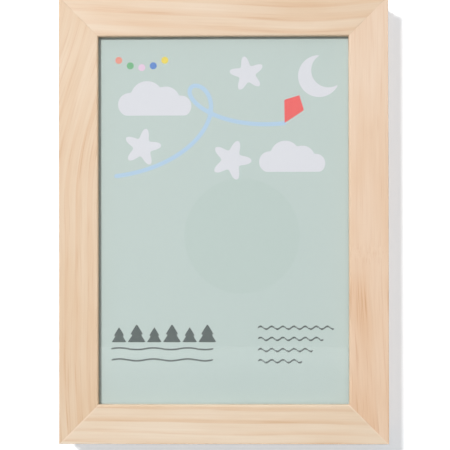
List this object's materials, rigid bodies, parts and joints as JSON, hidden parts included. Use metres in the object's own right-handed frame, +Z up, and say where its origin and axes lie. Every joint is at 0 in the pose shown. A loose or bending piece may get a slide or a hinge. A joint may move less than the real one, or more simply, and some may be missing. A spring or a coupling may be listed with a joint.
{
  "type": "childrens art frame",
  "caption": "Portrait pine picture frame whose mitred front opens as a hinged door on a shallow box that stores more sheets, held shut by magnets and hung from a toothed hanger.",
  "frame": {"origin": "on the wall plane, at the middle notch of the hanger", "axes": "+Z up, +Y into the wall, -Y the way the picture faces, +X to the right seen from the front"},
  "size_m": [0.25, 0.0381, 0.3392],
  "materials": {
    "pine": "pale pine, clear matt lacquer",
    "case_pine": "pale pine, sawn and lightly sanded",
    "clear_pane": "clear acrylic",
    "printed_paper": "printed sheet, pale sage green",
    "hardboard": "brown hardboard",
    "steel": "zinc plated",
    "magnet": "nickel plated",
    "brass": "brass plated",
    "elastic": "woven flat elastic, off white"
  },
  "bodies": {
    "case": {"case_side_left": "case_pine", "case_side_right": "case_pine", "case_rail_top": "case_pine", "case_rail_bottom": "case_pine", "corner_brad_top_left": "steel", "corner_brad_top_right": "steel", "corner_brad_bottom_left": "steel", "corner_brad_bottom_right": "steel", "back_panel": "hardboard", "panel_pin_upper_left": "steel", "panel_pin_lower_left": "steel", "panel_pin_upper_right": "steel", "panel_pin_lower_right": "steel", "panel_pin_top": "steel", "panel_pin_bottom": "steel", "magnet_upper": "magnet", "magnet_lower": "magnet", "storage_strap": "elastic", "strap_staple_left": "steel", "strap_staple_right": "steel", "wall_hanger": "steel", "hanger_rivet_left": "steel", "hanger_rivet_right": "steel", "hinge_upper_case_leaf": "brass", "hinge_lower_case_leaf": "brass", "hinge_upper_pin": "steel", "hinge_lower_pin": "steel", "hinge_upper_case_screw_high": "brass", "hinge_upper_case_screw_low": "brass", "hinge_lower_case_screw_high": "brass", "hinge_lower_case_screw_low": "brass"},
    "door": {"door_stile_left": "pine", "door_stile_right": "pine", "door_rail_top": "pine", "door_rail_bottom": "pine", "window_pane": "clear_pane", "display_sheet": "printed_paper", "door_backing": "hardboard", "v_nail_top_left": "steel", "v_nail_top_right": "steel", "v_nail_bottom_left": "steel", "v_nail_bottom_right": "steel", "turn_button_screw_upper_left": "brass", "turn_button_screw_upper_right": "brass", "turn_button_screw_lower_left": "brass", "turn_button_screw_lower_right": "brass", "strike_plate_upper": "steel", "strike_plate_lower": "steel", "strike_screw_upper": "steel", "strike_screw_lower": "steel", "hinge_upper_door_leaf": "brass", "hinge_lower_door_leaf": "brass", "hinge_upper_door_screw_high": "brass", "hinge_upper_door_screw_low": "brass", "hinge_lower_door_screw_high": "brass", "hinge_lower_door_screw_low": "brass"},
    "button_upper_left": {"turn_button_upper_left": "brass"},
    "button_upper_right": {"turn_button_upper_right": "brass"},
    "button_lower_left": {"turn_button_lower_left": "brass"},
    "button_lower_right": {"turn_button_lower_right": "brass"}
  },
  "joints": [
    {"name": "door_swing", "type": "hinge", "parent": "case", "child": "door", "pos_m": [-0.1228, -0.02775, -0.1421], "axis": [0, 0, -1], "range_deg": [0, 105]},
    {"name": "button_upper_left_turn", "type": "hinge", "parent": "door", "child": "button_upper_left", "pos_m": [-0.1095, -0.0276, -0.07952], "axis": [0, 1, 0], "range_deg": [-90, 90]},
    {"name": "button_upper_right_turn", "type": "hinge", "parent": "door", "child": "button_upper_right", "pos_m": [0.1095, -0.0276, -0.07952], "axis": [0, 1, 0], "range_deg": [-90, 90]},
    {"name": "button_lower_left_turn", "type": "hinge", "parent": "door", "child": "button_lower_left", "pos_m": [-0.1095, -0.0276, -0.20468], "axis": [0, 1, 0], "range_deg": [-90, 90]},
    {"name": "button_lower_right_turn", "type": "hinge", "parent": "door", "child": "button_lower_right", "pos_m": [0.1095, -0.0276, -0.20468], "axis": [0, 1, 0], "range_deg": [-90, 90]}
  ]
}
